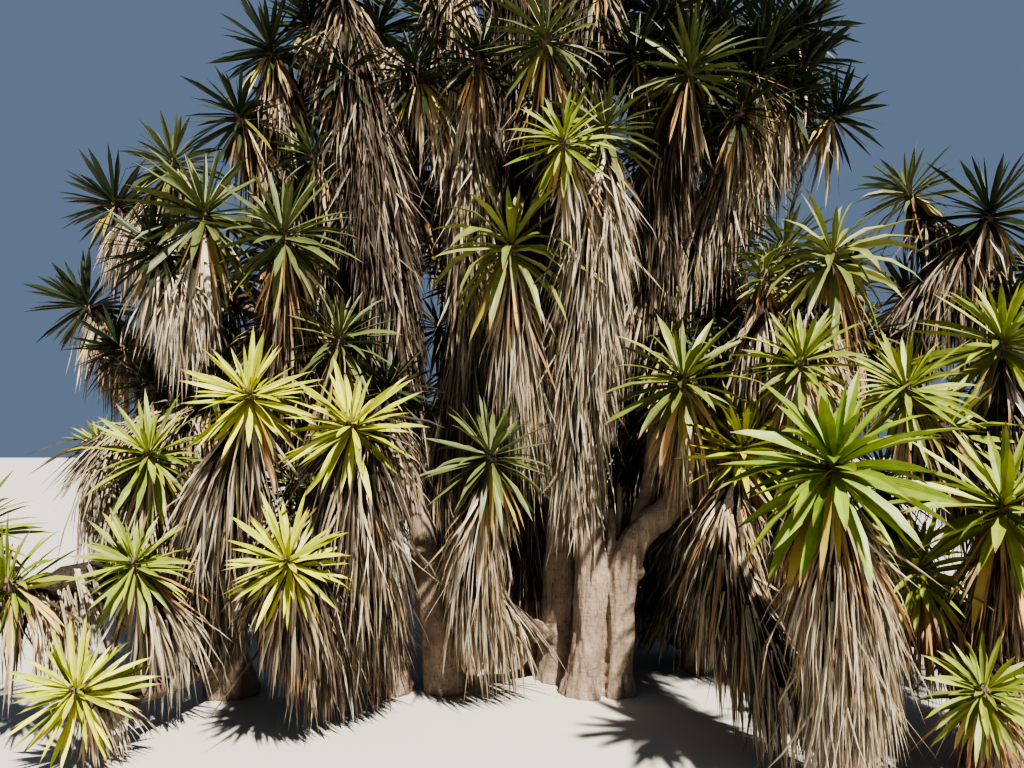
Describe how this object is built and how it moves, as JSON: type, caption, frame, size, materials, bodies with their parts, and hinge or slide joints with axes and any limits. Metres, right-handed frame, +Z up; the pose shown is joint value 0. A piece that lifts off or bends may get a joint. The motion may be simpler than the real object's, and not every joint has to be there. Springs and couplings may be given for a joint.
{
  "type": "spineless yucca",
  "caption": "Old many-stemmed spineless yucca clump: bare grey trunks that fork into boughs, heads of stiff sword leaves, and long hanging skirts of dead leaves.",
  "frame": {"origin": "middle of the main trunk's flat cut on level ground", "axes": "+Z up, +X to the right of the side the clump is seen from, +Y away from that side"},
  "size_m": [9.4796, 5.7207, 7.2992],
  "materials": {
    "bark": "pale grey-brown bark, finely streaked",
    "foliage": "green sword leaves over a thatch of dead straw-coloured leaves"
  },
  "bodies": {
    "root": {"bough_back_high": "bark", "bough_back_left": "bark", "bough_back_low": "bark", "bough_back_right": "bark", "bough_centre_high": "bark", "bough_far_right": "bark", "bough_left_column": "bark", "bough_left_middle": "bark", "bough_pale": "bark", "bough_right_arm": "bark", "bough_right_high": "bark", "bough_right_up": "bark", "bough_upper_left": "bark", "bough_west": "bark", "head_centre_left": "foliage", "head_drooping": "foliage", "head_front_centre": "foliage", "head_front_low": "foliage", "head_ground_left": "foliage", "head_left_inner": "foliage", "head_left_low": "foliage", "head_left_outer": "foliage", "head_pale_skirt": "foliage", "head_right_front": "foliage", "head_right_leaning": "foliage", "head_shaded": "foliage", "heads_back_centre": "foliage", "heads_back_high": "foliage", "heads_back_left": "foliage", "heads_back_low": "foliage", "heads_back_right": "foliage", "heads_behind_right": "foliage", "heads_centre_column": "foliage", "heads_centre_top": "foliage", "heads_east_crown": "foliage", "heads_far_right": "foliage", "heads_left_bright": "foliage", "heads_left_column": "foliage", "heads_left_edge": "foliage", "heads_pale_column": "foliage", "heads_right_arm": "foliage", "heads_right_bright": "foliage", "heads_right_crown": "foliage", "heads_right_edge": "foliage", "heads_right_upper": "foliage", "heads_summit": "foliage", "heads_upper_left": "foliage", "heads_west_high": "foliage", "heads_west_low": "foliage", "trunk_back": "bark", "trunk_far_left": "bark", "trunk_far_right": "bark", "trunk_front_right": "bark", "trunk_leaning": "bark", "trunk_left": "bark", "trunk_low_left": "bark", "trunk_main": "bark", "trunk_middle": "bark", "trunk_right": "bark"}
  },
  "joints": []
}
